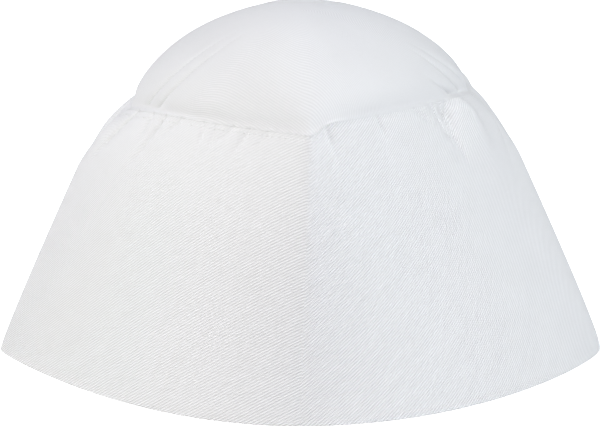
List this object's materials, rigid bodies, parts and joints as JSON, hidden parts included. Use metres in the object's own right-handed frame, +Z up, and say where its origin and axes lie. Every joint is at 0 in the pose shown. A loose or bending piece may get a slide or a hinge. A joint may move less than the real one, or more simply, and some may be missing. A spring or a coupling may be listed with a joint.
{
  "type": "side cap",
  "caption": "White twill side cap: a flared cloth band with a pressed front ridge and a boat-shaped domed crown, gathered at both sides",
  "frame": {"origin": "centre of the rim's plan, on the surface that the rim rests on", "axes": "+X to the right as seen from the front, +Y from the front to the back, +Z up from the rim to the crown"},
  "size_m": [0.188, 0.204, 0.1149],
  "materials": {
    "twill": "matte white twill weave"
  },
  "bodies": {
    "root": {"side_wall": "twill", "crown": "twill"}
  },
  "joints": []
}
